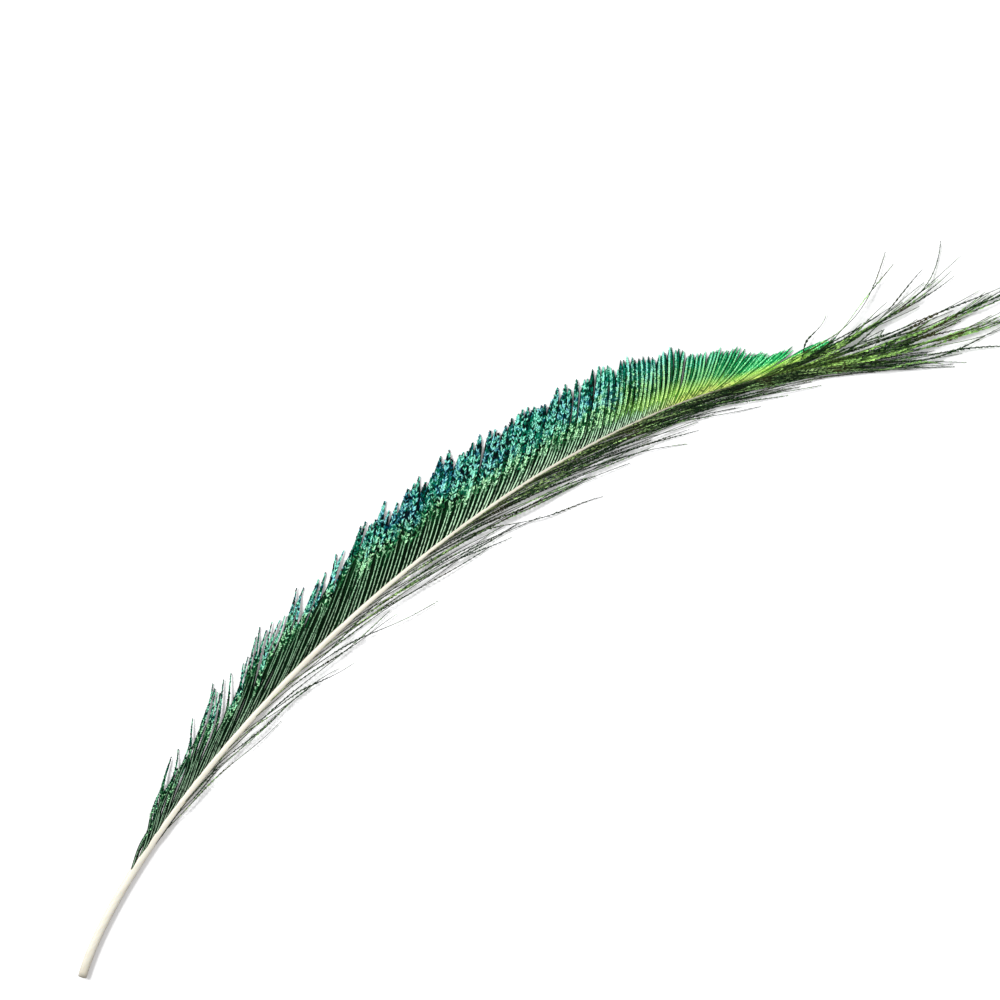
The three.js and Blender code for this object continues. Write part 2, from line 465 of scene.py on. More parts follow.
@dataclass(frozen=True)
class Barbules:
    """Two rows of barbules on each barb: thin three-sided spines that leave it forwards and outwards in tufts.

    Pitch is the run of barb that each takes, and tuft is a tuft's own run. Between tufts a painted shade dims
    the glint by its share, and the size falls by the nip, and a tuft's tips are drawn together by the gather.
    Angles are degrees.
    """

    inner: Lay
    outer: Lay
    pitch: float
    tuft: float
    notch_shade: float = 0.75
    nip: float = 0.3
    gather: float = 0.45
    sunk_shade: float = 0.72
    curled: bool = True
    span: tuple[float, float] = (0.01, 0.995)
    place_range: tuple[float, float] = (0.1, 0.9)
    zone_step: tuple[float, float] = (-0.1, 0.08)
    line_mess: float = 0.35
    swelling: float = 0.7
    tuft_glint: float = 0.7
    tuft_glint_spread: float = 0.68
    tuft_glint_limit: float = 1.4
    tone_range: tuple[float, float] = (0.68, 1.32)
    size_range: tuple[float, float] = (0.85, 1.15)
    tip_size: float = 0.3
    root_size: float = 0.4
    root_growth: float = 12.0
    jitter: float = 5.0
    tuft_turn: float = 12.0
    tuft_rise: float = 11.0
    tip_turn: float = 1.6
    tip_rise: float = 1.5
    ridge: float = 0.28
    bend_width: float = 0.9
    parts: tuple[float, float] = (0.55, 0.45)
    lowest_root: float = 0.01
    lowest_tip: float = 0.03
    underside_shade: float = 0.25
    band: tuple[float, float] = (0.16, 1.0)

    def surface(self, barbs: Barbs, rng: np.random.Generator) -> Surface:
        """Sets the barbules out along every barb, in tufts, and builds their spines.

        A barbule's root lies on its barb. Its first part points along cos(a) forward + sin(a) out, where out is
        sideways raised by the lift, and its second part turns to another angle and lift. The barbules of a tuft
        lean together and share one painted glint and one turn, so notches of painted shade part it from the
        next.

        Args:
            barbs: The barbs' paths.
            rng: The source of their unevenness.

        Returns:
            The barbules' surface.
        """
        start, end = self.span
        counts = np.maximum((barbs.lengths * (1 - start) / self.pitch).astype(int), 1)
        owner = np.repeat(np.arange(len(counts)), counts)
        order = np.arange(len(owner)) - np.repeat(np.cumsum(counts) - counts, counts)
        owner, order = np.tile(owner, 2), np.tile(order, 2)
        total = len(owner)
        hand = np.repeat([0, 1], total // 2)
        share = start + (1 - start) * (order + rng.uniform(*self.place_range, total)) / counts[owner]
        share = np.clip(share, 0, end)
        grid = share * (barbs.path.shape[1] - 1)
        low = grid.astype(int)
        part = (grid - low)[:, None]
        root, ahead, sideways, up = (
            values[owner, low] * (1 - part) + values[owner, low + 1] * part
            for values in (barbs.path, *barbs.frames())
        )
        ahead, up = unit(ahead), unit(up)
        out = unit(sideways) * np.where(hand == 0, 1.0, -1.0)[:, None]
        run = share * barbs.lengths[owner] / self.tuft + rng.uniform(0, 1, (len(counts), 2))[owner, hand]
        number = run.astype(int)
        inside = run - number
        tufts = rng.normal(0, 1, (4, len(counts), 2, number.max() + 1))[:, owner, hand, number]
        disorder = barbs.disorder[owner]
        outer = eased(*self.zone_step, share - barbs.lines[owner])
        mess = disorder * (self.line_mess + (1 - self.line_mess) * outer)
        swell = np.sin(np.pi * inside) ** self.swelling
        # Painted highlight and shade: each tuft gets one glint level, bright or dark as it would catch the
        # light.
        level = np.clip(self.tuft_glint + self.tuft_glint_spread * tufts[0], 0, self.tuft_glint_limit)
        level = 1 + (level - 1) * mess
        # Painted shade: the glint dips between tufts, and on barbs that lie under their neighbours.
        tone = (1 - self.notch_shade * barbs.notch_shade[owner] * (1 - swell)) * level
        tone = tone * rng.uniform(*self.tone_range, total)
        tone = tone * barbs.shade[owner] * (1 - self.sunk_shade * barbs.under[owner] * outer)

        def lay(name: str) -> Array:
            """A value of the two lays, mixed by the zone."""
            low, high = getattr(self.inner, name), getattr(self.outer, name)
            return low + (high - low) * outer

        def direction(angle: Array, lift: Array) -> Array:
            """The direction at an angle from the barb, raised by a lift, both in degrees."""
            turned, raised = np.radians(angle)[:, None], np.radians(lift)[:, None]
            side = out * np.cos(raised) + up * np.sin(raised)
            return unit(ahead * np.cos(turned) + side * np.sin(turned))

        size = lay("reach") * barbs.fullness[owner] * (1 - self.nip * (1 - swell))
        size = size * rng.uniform(*self.size_range, total)
        narrowing = np.minimum(1, self.tip_size + (1 - share) * barbs.taper[owner])
        size *= narrowing * np.minimum(1, self.root_size + share * self.root_growth)
        jitter = rng.normal(0, self.jitter, (3, total))
        turn, rise = self.tuft_turn * mess * tufts[1], self.tuft_rise * mess * tufts[2]
        first = direction(lay("root_angle") + turn + jitter[0], lay("lift") + rise + jitter[1])
        second = direction(
            lay("tip_angle") + turn * self.tip_turn, lay("tip_lift") + rise * self.tip_rise + jitter[2]
        )
        lean = ahead * ((0.5 - inside) * self.tuft * self.gather)[:, None]
        tones = np.stack([lay(name) * tone for name in ("root_tone", "bend_tone", "tip_tone")], 1)
        zone = barbs.zone(share, barbs.lines[owner])
        return self.spines(
            root, first, second, lean, up, size, lay("width"), np.clip(tones, 0, 1), barbs.at[owner], zone
        )

    def spines(
        self,
        root: Array,
        first: Array,
        second: Array,
        lean: Array,
        up: Array,
        size: Array,
        width: Array,
        tones: Array,
        at: Array,
        zone: Array,
    ) -> Surface:
        """Builds a closed spine of three sides for each barbule, from a triangle at its root to a pointed tip.

        A curled barbule has a second triangle where it bends. A spine whose volume comes out negative has the
        corners of its faces taken in reverse, so that they all face outwards.

        Args:
            root: Where each barbule leaves its barb.
            first: The direction of its first part.
            second: The direction of its second part.
            lean: How far its tip is drawn along the barb.
            up: The barb's upward direction there.
            size: Its length.
            width: Its width.
            tones: How bright its root, bend and tip are.
            at: The place of its barb on the shaft.
            zone: Its place across the vane's zones.

        Returns:
            The spines' surface.
        """
        count = len(size)
        across = unit(np.cross(up, first)) * (width / 2)[:, None]
        ridge = unit(np.cross(first, across)) * (width * self.ridge)[:, None]
        rings = [np.stack([root - across, root + across, root + ridge], 1)]
        rows = [tones[:, [0, 0, 0]]]
        below, beyond = self.parts
        end = root + first * (size * (below if self.curled else 1.0))[:, None] + lean / 2
        if self.curled:
            rim = across * self.bend_width
            rings.append(np.stack([end - rim, end + rim, end + ridge], 1))
            rows.append(tones[:, [1, 1, 1]])
            end = end + second * (size * beyond)[:, None] + lean / 2
        end[:, 2] = np.maximum(end[:, 2], self.lowest_tip)
        points = np.concatenate([*rings, end[:, None]], axis=1)
        points[..., 2] = np.maximum(points[..., 2], self.lowest_root)
        tone = np.concatenate([*rows, tones[:, [2]]], axis=1)
        pattern, looks_down, corners = self.pattern()
        corner = points[:, pattern] - points[:, :1, None]
        volume = np.einsum("nfk,nfk->n", corner[:, :, 0], np.cross(corner[:, :, 1], corner[:, :, 2]))
        faces = (np.arange(count) * points.shape[1])[:, None, None] + pattern[None]
        face_tone = tone[:, pattern] * np.where(looks_down, self.underside_shade, 1.0)[None, :, None]
        across_map = int(np.ceil(np.sqrt(count)))
        cell = np.stack([np.arange(count) % across_map, np.arange(count) // across_map], -1)
        places = cell[:, None, None] + corners[None]
        low, high = self.band
        places = places * [1 / across_map, (high - low) / np.ceil(count / across_map)] + [0, low]
        faces, face_tone, places = (
            np.where(volume.reshape(-1, *[1] * (values.ndim - 1)) > 0, values, values[:, :, ::-1])
            for values in (faces, face_tone, places)
        )
        each = points.shape[1]
        return Surface(
            points.reshape(-1, 3),
            faces.reshape(-1, 3),
            np.full(faces.shape[0] * faces.shape[1], Look.BARBULE.value),
            np.repeat(at, each),
            np.repeat(zone, each),
            face_tone.reshape(-1, 3),
            places.reshape(-1, 3, 2),
        )

    def pattern(self) -> tuple[Array, Array, Array]:
        """One spine's faces as counts of its points, which of them look down, and their places in a map cell.

        Each of the three sides has a strip of the cell, and the cap at the root lies between two of their tips.

        Returns:
            The faces, whether each looks down, and the cell places of their corners.
        """
        faces, down, places = [], [], []
        foot, head = 0.05, 0.95  # of the cell's height: where the sides' strips start and end
        start, end = 0.08, 0.92  # of a side's third of the cell's width
        neck = 0.6 if self.curled else foot
        last, tip = (3, 6) if self.curled else (0, 3)
        for side in range(3):
            right = (side + 1) % 3
            x0, x1 = (side + start) / 3, (side + end) / 3
            if self.curled:
                faces += [(side, right, right + 3), (side, right + 3, side + 3)]
                places += [((x0, foot), (x1, foot), (x1, neck)), ((x0, foot), (x1, neck), (x0, neck))]
                down += [side == 0] * 2
            faces.append((last + side, last + right, tip))
            places.append(((x0, neck), (x1, neck), ((x0 + x1) / 2, head)))
            down.append(side == 0)
        faces.append((0, 2, 1))
        places.append(((0.21, 0.97), (0.46, 0.97), (1 / 3, neck + 0.1)))
        down.append(True)
        return np.array(faces), np.array(down), np.array(places)


@dataclass
class BarbRow:
    """A row of barbs on one side of the shaft: where they grow, how they gather, and how they wander.

    Barbs gather in groups of about a pair, and groups in locks. Uneven and thinning change a barb's length,
    stray is the share of barbs that leave their neighbours, and levels sets barbs above and below each other.
    """

    shaft: ShaftShape
    side: Side
    table: Table
    span: tuple[float, float]
    locks: int
    arch: float
    rest: float
    gathers: float = 0.45
    pair: float = 2.0
    bend_share: float = 0.4
    steps: int = 18
    uneven: float = 0.025
    thinning: float = 0.0
    heading_spread: float = 0.8
    stray: float = 0.0
    stray_spread: float = 12.0
    stray_curl: float = 0.0
    stray_curl_range: tuple[float, float] = (0.2, 1)
    stray_swing: float = 2.0
    wander: float = 0.12
    wander_turns: float = 1.2
    levels: float = 0.25
    contrast: float = 0.36
    shade_range: tuple[float, float] = (-1, 0.5)
    twist: float = 0.0
    twist_range: tuple[float, float] = (0.6, 1.4)
    lock_uneven: float = 0.05
    lock_turn: float = 2.4
    lines_uneven: float = 0.09
    root_jitter: float = 0.15
    group_mess: float = 1.2
    pairs_from: tuple[float, float] = (0.12, 0.62)
    longest_cut: float = 0.55
    root_height: float = 0.58
    sunk_drop: float = 1.4
    bob: float = 0.35
    bob_turns: float = 0.8
    root_rest: float = 0.3
    tone_range: tuple[float, float] = (0.2, 1.4)
    level_shade: float = 0.25
    samples: int = 1500

    def roots(self, rng: np.random.Generator) -> Array:
        """The barbs' places on the shaft: one over the pitch is summed along it, and each whole grows a barb.

        Args:
            rng: The source of their unevenness.

        Returns:
            Shares of the shaft's length, rising.
        """
        fine = np.linspace(*self.span, self.samples)
        density = self.shaft.line.length / self.table.value("pitch", fine)
        run = np.concatenate([[0], np.cumsum((density[1:] + density[:-1]) / 2 * np.diff(fine))])
        count = int(run[-1])
        wanted = np.arange(count) + 0.5 + rng.uniform(-self.root_jitter, self.root_jitter, count)
        return np.interp(wanted, run, fine)

    def path(self, at: Array, share: Array, stretch: Array, turn: Array) -> Array:
        """Points on barbs in plan: a curve of one bend from the root, (1-s)^2 root + 2s(1-s) bend + s^2 tip.

        Args:
            at: The place on the shaft that each point's barb grows from.
            share: Each point's share of its barb's length.
            stretch: What each barb's length is multiplied by.
            turn: How much each barb is turned, in degrees.

        Returns:
            The points, in X and Y.
        """
        length = self.table.value("length", at) * stretch
        heading = self.shaft.line.heading(at)

        def step(name: str, reach: Array) -> Array:
            """A step of this length at the angle that the table gives."""
            angle = heading + self.side.value * np.radians(self.table.value(name, at) + turn)
            return np.stack([np.cos(angle) * reach, np.sin(angle) * reach], -1)

        root = self.shaft.line.point(at)
        bend = root + step("root", length * self.bend_share)
        tip = bend + step("tip", length * (1 - self.bend_share))
        s = share[..., None]
        return (1 - s) ** 2 * root + 2 * s * (1 - s) * bend + s**2 * tip

    def barbs(self, rng: np.random.Generator) -> Barbs:
        """Lays the barbs out, gathers them in small groups and locks, and lets them wander.

        Args:
            rng: The source of their unevenness.

        Returns:
            The barbs.
        """
        at = self.roots(rng)
        count = len(at)
        share = np.linspace(0, 1, self.steps)[None]
        pitch = (self.span[1] - self.span[0]) / self.locks
        lock = np.clip(((at - self.span[0]) / pitch).astype(int), 0, self.locks - 1)
        middle = self.span[0] + pitch * (lock + 0.5)
        group = np.floor((np.arange(count) + rng.uniform(0, self.group_mess, count)) / self.pair).astype(int)
        near = (np.bincount(group, at) / np.maximum(np.bincount(group), 1))[group]
        to_group = self.table.value("pairing", at)[:, None] * eased(*self.pairs_from, share)
        to_lock = self.table.value("gather", at)[:, None] * eased(self.gathers, 1, share)
        eff = at[:, None] + (near - at)[:, None] * to_group + (middle - near)[:, None] * to_lock
        loose = self.table.value("loose", at)
        stretch = 1 + self.lock_uneven * np.sin(self.lock_turn * lock)
        sway = rng.normal(0, 1, count)
        change = self.uneven * loose**0.5 * sway - self.thinning * np.maximum(-sway, 0)
        stretch = stretch * (1 + np.maximum(change, -self.longest_cut))
        strays = rng.uniform(0, 1, count) < self.stray
        spread = self.heading_spread * loose**0.5 + strays * self.stray_spread
        astray = strays * self.stray_curl * rng.uniform(*self.stray_curl_range, count)
        curl = self.table.value("curl", at, 0) + astray
        turn = (rng.normal(0, 1, count) * spread)[:, None] * share + curl[:, None] * share**3
        flat = self.path(eff, np.broadcast_to(share, eff.shape), stretch[:, None], turn)
        phase = rng.uniform(0, FULL_TURN, (2, count))[:, :, None]
        swing = self.wander * (loose**0.7 * (1 + self.stray_swing * strays))[:, None] * share
        turns = self.wander_turns * FULL_TURN * share
        tangent = unit(np.gradient(flat, axis=1))
        normal = np.stack([-tangent[..., 1], tangent[..., 0]], -1)
        swayed = swing * (np.sin(turns + phase[0]) - np.sin(phase[0]) * (1 - share))
        flat = flat + normal * swayed[..., None]
        under = self.table.value("ply", at, 0) * (np.arange(count) % 2)
        level = (rng.uniform(-1, 1, count) * (1 - under) - self.sunk_drop * under)[:, None]
        root_height = self.root_height * self.shaft.height(at)[:, None]
        height = root_height + (self.rest - root_height) * share + self.arch * np.sin(np.pi * share)
        height = height + self.levels * level * np.sin(np.pi * share**0.7)
        height = height + self.bob * swing * np.sin(turns * self.bob_turns + phase[1]) * share
        height = np.maximum(height, self.rest * (self.root_rest + (1 - self.root_rest) * share))
        shade = rng.uniform(*self.shade_range, group[-1] + 1)[group]
        shade = shade * self.table.value("contrast", at) * self.contrast + 1
        turned = FULL_TURN * share * rng.uniform(*self.twist_range, count)[:, None]
        twist = self.twist * (turned + phase[1])
        return Barbs(
            np.concatenate([flat, height[..., None]], axis=-1),
            at,
            # Painted light: raised barbs lighter, lower ones darker; glow scales the barbules' painted glints.
            np.clip(shade + self.level_shade * level[:, 0], *self.tone_range) * self.table.value("glow", at),
            under,
            self.table.value("stalk", at),
            np.broadcast_to(twist, height.shape),
            self.table.value("lines", at) * (1 + rng.normal(0, self.lines_uneven, count)),
            *(self.table.value(name, at) for name in ("disorder", "full", "shade_bed", "notch_shade", "taper")),
        )


@dataclass(frozen=True)
class Hue:
    """A zone's colours from glinting to shaded, as screen colours."""

    bright: tuple[int, int, int]
    middle: tuple[int, int, int]
    dark: tuple[int, int, int]

    @property
    def tones(self) -> tuple[tuple[int, int, int], ...]:
        """The colours from dark to bright."""
        return self.dark, self.middle, self.bright


class Graph:
    """A material's node graph, built from the values in to the shader."""

    def __init__(self, name: str) -> None:
        """Starts a material with a Principled shader."""
        self.material = bpy.data.materials.new(name)
        self.material.use_nodes = True
        self.nodes = self.material.node_tree.nodes
        self.links = self.material.node_tree.links
        self.shader = self.nodes["Principled BSDF"]

    def put(self, socket: bpy.types.NodeSocket, value: object) -> None:
        """Links a socket to a node's output, or sets its own value."""
        if isinstance(value, bpy.types.NodeSocket):
            self.links.new(value, socket)
        else:
            socket.default_value = value

    def attribute(self, name: str) -> bpy.types.NodeSocket:
        """The value of one of the mesh's attributes."""
        node = self.nodes.new("ShaderNodeAttribute")
        node.attribute_name = name
        return node.outputs["Fac"]

    def ramp(self, value: bpy.types.NodeSocket, stops: dict[float, object]) -> bpy.types.NodeSocket:
        """A colour for each value.

        Args:
            value: What is looked up.
            stops: The place of each colour. A single number stands for a grey.

        Returns:
            The colour's socket.
        """
        node = self.nodes.new("ShaderNodeValToRGB")
        elements = node.color_ramp.elements
        while len(elements) < len(stops):
            elements.new(0.5)
        for element, (place, colour) in zip(elements, sorted(stops.items())):
            element.position = place
            element.color = linear(colour) if isinstance(colour, tuple) else (colour, colour, colour, 1)
        self.put(node.inputs["Fac"], value)
        return node.outputs["Color"]

    def mix(self, share: object, first: object, second: object, blend: str = "MIX") -> bpy.types.NodeSocket:
        """The colour a share of the way from the first to the second, or to their blend."""
        node = self.nodes.new("ShaderNodeMix")
        node.data_type = "RGBA"
        node.blend_type = blend
        for socket, value in zip((node.inputs[0], node.inputs[6], node.inputs[7]), (share, first, second)):
            self.put(socket, linear(value) if isinstance(value, tuple) else value)
        return node.outputs[2]

    def maths(self, kind: str, first: object, second: object = 0.0) -> bpy.types.NodeSocket:
        """One sum on two values, such as MULTIPLY."""
        node = self.nodes.new("ShaderNodeMath")
        node.operation = kind
        self.put(node.inputs[0], first)
        self.put(node.inputs[1], second)
        return node.outputs[0]

    def noise(
        self, scale: float, detail: float, stretch: tuple[float, float, float] = (1, 1, 1)
    ) -> bpy.types.NodeSocket:
        """Noise over the object's own coordinates.

        Args:
            scale: Waves to the metre, about.
            detail: How many finer layers it has.
            stretch: What each coordinate is multiplied by first.

        Returns:
            The noise's value.
        """
        place = self.nodes.new("ShaderNodeTexCoord")
        turn = self.nodes.new("ShaderNodeMapping")
        turn.inputs["Scale"].default_value = stretch
        node = self.nodes.new("ShaderNodeTexNoise")
        node.inputs["Scale"].default_value = scale
        node.inputs["Detail"].default_value = detail
        self.links.new(place.outputs["Object"], turn.inputs["Vector"])
        self.links.new(turn.outputs["Vector"], node.inputs["Vector"])
        return node.outputs["Fac"]

    def finish(self, colour: object, roughness: float, specular: float, metallic: float = 0.0) -> None:
        """Sets the shader's colour, roughness, specular level and metallic share."""
        for name, value in (
            ("Base Color", colour),
            ("Roughness", roughness),
            ("Specular IOR Level", specular),
            ("Metallic", metallic),
        ):
            self.put(self.shader.inputs[name], value)

    def bump(self, height: bpy.types.NodeSocket, strength: float, depth: float) -> None:
        """Gives the shader a bump from a height, of this depth in metres."""
        node = self.nodes.new("ShaderNodeBump")
        node.inputs["Strength"].default_value = strength
        node.inputs["Distance"].default_value = depth
        self.links.new(height, node.inputs["Height"])
        self.links.new(node.outputs["Normal"], self.shader.inputs["Normal"])


@dataclass(frozen=True)
class VaneFinish:
    """The broad vane's barbules: green inside, teal and blue outside, yellow-green beside the upper shaft."""

    inner: Hue = Hue((200, 248, 208), (22, 90, 42), (2, 21, 5))
    middle: Hue = Hue((196, 254, 198), (22, 124, 64), (2, 24, 8))
    outer: Hue = Hue((160, 252, 224), (2, 142, 108), (0, 22, 17))
    rim: Hue = Hue((130, 240, 208), (2, 104, 88), (0, 18, 20))
    blue: Hue = Hue((150, 232, 242), (8, 96, 130), (1, 18, 34))
    yellow: Hue = Hue((218, 255, 140), (166, 228, 92), (92, 156, 54))
    lower: Hue = Hue((160, 220, 160), (14, 74, 42), (2, 14, 7))
    late: Hue = Hue((178, 244, 150), (24, 106, 36), (2, 26, 5))
    fan: Hue = Hue((132, 248, 164), (14, 188, 98), (4, 94, 44))
    metallic: float = 0.5
    roughness: float = 0.42
    specular: float = 0.08
    fleck_waves: float = 650.0
    fleck_reach: float = 0.4
    patch_waves: float = 75.0
    patch_edge_waves: float = 800.0
    yellow_lean: float = 0.1

    def material(self) -> bpy.types.Material:
        """Mixes each zone's dark and bright colours by the barbules' glint, and the zones by their place."""
        graph = Graph("vane_barbules")
        outward, along, glint = (graph.attribute(name) for name in ("outward", "along", "glint"))
        zones = {
            0.0: self.inner,
            0.3: self.inner,
            0.47: self.middle,
            0.68: self.outer,
            0.86: self.outer,
            1.0: self.rim,
        }
        later = graph.ramp(along, {0.68: 0.0, 0.77: 0.22, 0.84: 0.24, 0.9: 0.22})
        flecks = graph.maths("SUBTRACT", graph.noise(self.fleck_waves, 1), 0.5)
        astray = graph.maths("MULTIPLY", flecks, self.fleck_reach)
        place = graph.maths("ADD", graph.maths("SUBTRACT", outward, later), astray)

        def toned(tones: Iterable[object]) -> bpy.types.NodeSocket:
            """Mixes dark, middle and bright tones by the glint."""
            dark, middle, bright = tones
            low = graph.mix(graph.ramp(glint, {0.06: 0.0, 0.4: 1.0}), dark, middle)
            return graph.mix(graph.ramp(glint, {0.42: 0.0, 0.76: 1.0}), low, bright)

        columns = zip(*(hue.tones for hue in zones.values()))
        colour = toned([graph.ramp(place, dict(zip(zones, column))) for column in columns])
        inside = graph.ramp(place, {0.4: 1.0, 0.62: 0.0})
        leafy = graph.maths("MULTIPLY", inside, graph.ramp(along, {0.7: 0.0, 0.78: 0.75}))
        colour = graph.mix(leafy, colour, toned(self.late.tones))
        dull = graph.ramp(along, {0.14: 0.6, 0.38: 0.0})
        colour = graph.mix(dull, colour, toned(self.lower.tones))
        clouds = graph.noise(self.patch_waves, 3)
        ragged = graph.maths("SUBTRACT", graph.noise(self.patch_edge_waves, 1), 0.5)
        patches = graph.ramp(graph.maths("ADD", clouds, ragged), {0.44: 0.0, 0.66: 1.0})
        reach = graph.ramp(outward, {0.47: 0.0, 0.68: 1.0})
        stretch = graph.ramp(along, {0.15: 0.0, 0.35: 0.9, 0.7: 0.9, 0.78: 0.45, 0.84: 0.15})
        share = graph.maths("MULTIPLY", graph.maths("MULTIPLY", patches, reach), stretch)
        colour = graph.mix(share, colour, toned(self.blue.tones))
        wider = graph.ramp(along, {0.81: 0.02, 0.84: 0.07, 0.875: 0.0, 0.925: 0.35})
        colour = graph.mix(graph.ramp(along, {0.82: 0.0, 0.9: 0.9}), colour, toned(self.fan.tones))
        beside = graph.ramp(graph.maths("SUBTRACT", outward, wider), {0.35: 1.0, 0.57: 0.0})
        ahead = graph.maths("ADD", along, graph.maths("MULTIPLY", outward, self.yellow_lean))
        near_tip = graph.ramp(ahead, {0.805: 0.0, 0.85: 1.0})
        colour = graph.mix(graph.maths("MULTIPLY", beside, near_tip), colour, toned(self.yellow.tones))
        graph.finish(colour, self.roughness, self.specular, self.metallic)
        return graph.material


@dataclass(frozen=True)
class StalkFinish:
    """The barbs' stalks: pale where they leave the shaft, green further out, yellow-green near the tip."""

    name: str = "barb_stalks"
    root: tuple[int, int, int] = (208, 238, 204)
    middle: tuple[int, int, int] = (196, 246, 202)
    tip: tuple[int, int, int] = (10, 70, 40)
    yellow: tuple[int, int, int] = (222, 246, 132)
    yellow_share: float = 1.0
    places: tuple[float, float, float] = (0.08, 0.3, 0.5)
    beads: float = 1100.0
    roughness: float = 0.5
    specular: float = 0.2

    def material(self) -> bpy.types.Material:
        """Runs the colours along the stalk, and turns them yellow beside the upper shaft."""
        graph = Graph(self.name)
        outward, along, glint = (graph.attribute(name) for name in ("outward", "along", "glint"))
        low, mid, high = self.places
        colour = graph.ramp(outward, {0.0: self.root, low: self.root, mid: self.middle, high: self.tip})
        beside = graph.ramp(outward, {0.3: 1.0, 0.6: 0.0})
        share = self.yellow_share
        near_tip = graph.ramp(along, {0.8: 0.0, 0.84: share, 0.94: share, 1.0: 0.0})
        colour = graph.mix(graph.maths("MULTIPLY", beside, near_tip), colour, self.yellow)
        beads = graph.ramp(graph.noise(self.beads, 1), {0.38: 0.3, 0.46: 1.0})
        # The glint, painted shade on sunk barbs, darkens the stalk, as do dark beads and a fall towards the
        # base.
        shade = graph.maths("MULTIPLY", graph.ramp(glint, {0.0: 0.1, 1.0: 1.0}), beads)
        shade = graph.maths("MULTIPLY", shade, graph.ramp(along, {0.36: 0.5, 0.57: 1.0}))
        graph.finish(graph.mix(1.0, colour, shade, "MULTIPLY"), self.roughness, self.specular)
        return graph.material


@dataclass(frozen=True)
class StrandFinish:
    """Loose strands: dark green with bright dashes of painted glint, brown in places."""

    name: str = "strand_barbules"
    bright: tuple[int, int, int] = (164, 218, 124)
    dark: tuple[int, int, int] = (18, 54, 22)
    brown: tuple[int, int, int] = (78, 66, 30)
    lime: tuple[int, int, int] = (172, 220, 112)
    lime_reach: tuple[float, float] = (0.25, 0.8)
    metallic: float = 0.4
    roughness: float = 0.45
    specular: float = 0.1
    patch_waves: float = 60.0

    def material(self) -> bpy.types.Material:
        """Mixes dark and bright by the glint, with brown patches and a lime stretch near the roots."""
        graph = Graph(self.name)
        outward, glint = graph.attribute("outward"), graph.attribute("glint")
        bright = graph.ramp(outward, dict(zip(self.lime_reach, (self.lime, self.bright))))
        patches = graph.ramp(graph.noise(self.patch_waves, 2), {0.52: 0.0, 0.64: 0.8})
        dark = graph.mix(patches, self.dark, self.brown)
        colour = graph.mix(graph.ramp(glint, {0.12: 0.0, 0.6: 1.0}), dark, bright)
        graph.finish(colour, self.roughness, self.specular, self.metallic)
        return graph.material


@dataclass(frozen=True)
class ShaftFinish:
    """The shaft: satin ivory, with painted shade in tan along its sides and underside, brown-grey towards the
    tip, with fine streaks.
    """

    ivory: tuple[int, int, int] = (220, 216, 202)
    warm: tuple[int, int, int] = (194, 188, 172)
    tip: tuple[int, int, int] = (106, 102, 84)
    flank_shade: tuple[int, int, int] = (124, 108, 84)
    roughness: float = 0.36
    specular: float = 0.4
    streak_waves: float = 900.0
    streak_stretch: tuple[float, float, float] = (0.08, 1, 1)
    streak_relief: float = 0.35
    streak_depth: float = 0.0001
    glow: float = 0.15
    glow_reach: tuple[float, float, float] = (0.001, 0.0007, 0.0004)

    def material(self) -> bpy.types.Material:
        """Runs the ivory to brown-grey along the shaft, streaks it, and paints shade in tan on its sides and
        underside.
        """
        graph = Graph("shaft_horn")
        along, outward = graph.attribute("along"), graph.attribute("outward")
        ivory, warm = self.ivory, self.warm
        colour = graph.ramp(along, {0.0: warm, 0.03: ivory, 0.62: ivory, 0.8: warm, 0.93: self.tip})
        streaks = graph.noise(self.streak_waves, 3, self.streak_stretch)
        streaked = graph.ramp(streaks, {0.45: 0.0, 0.75: 0.5})
        colour = graph.mix(streaked, colour, warm)
        # Painted shade: tan over the shaft's lower half and sides, none over its top.
        flank_shade_share = graph.ramp(outward, {0.0: 0.9, 0.58: 0.8, 0.86: 0.0})
        colour = graph.mix(flank_shade_share, colour, self.flank_shade)
        graph.finish(colour, self.roughness, self.specular)
        graph.put(graph.shader.inputs["Subsurface Weight"], self.glow)
        graph.put(graph.shader.inputs["Subsurface Radius"], self.glow_reach)
        graph.bump(streaks, self.streak_relief, self.streak_depth)
        return graph.material


